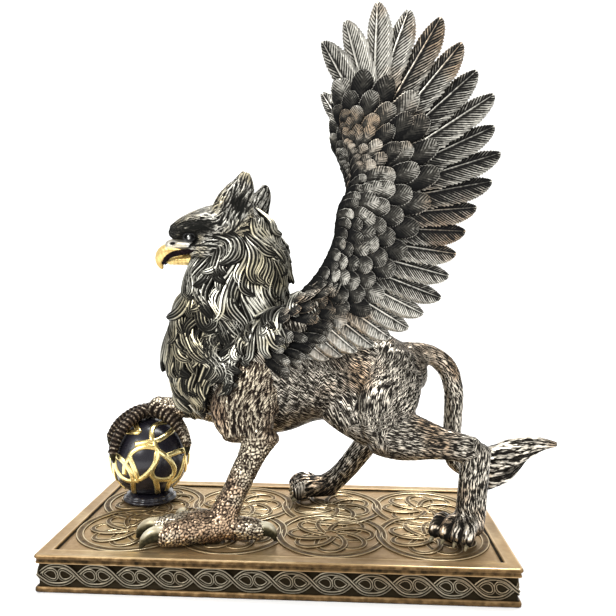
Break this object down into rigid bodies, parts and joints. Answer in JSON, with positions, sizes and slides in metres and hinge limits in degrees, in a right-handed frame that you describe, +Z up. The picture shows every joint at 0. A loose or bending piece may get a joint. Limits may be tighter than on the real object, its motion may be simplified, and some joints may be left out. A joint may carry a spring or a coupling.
{
  "type": "griffin statue",
  "caption": "Standing griffin figurine with raised wings and a maned neck, one forefoot on a strapped orb, on an oblong plinth with knotwork.",
  "frame": {"origin": "centre of the plinth's underside", "axes": "+Z up; the griffin faces -X; its near side, with the forefoot on the plinth, faces -Y"},
  "size_m": [0.2756, 0.12, 0.2854],
  "materials": {
    "bronze": "cold-cast resin with a dark patina dry-brushed in pewter, champagne and copper",
    "copper": "cold-cast resin with a brown patina and rubbed gold and pewter relief",
    "black_lacquer": "glossy black with gilt straps"
  },
  "bodies": {
    "root": {"plinth": "copper", "griffin": "bronze", "orb": "black_lacquer"}
  },
  "joints": []
}
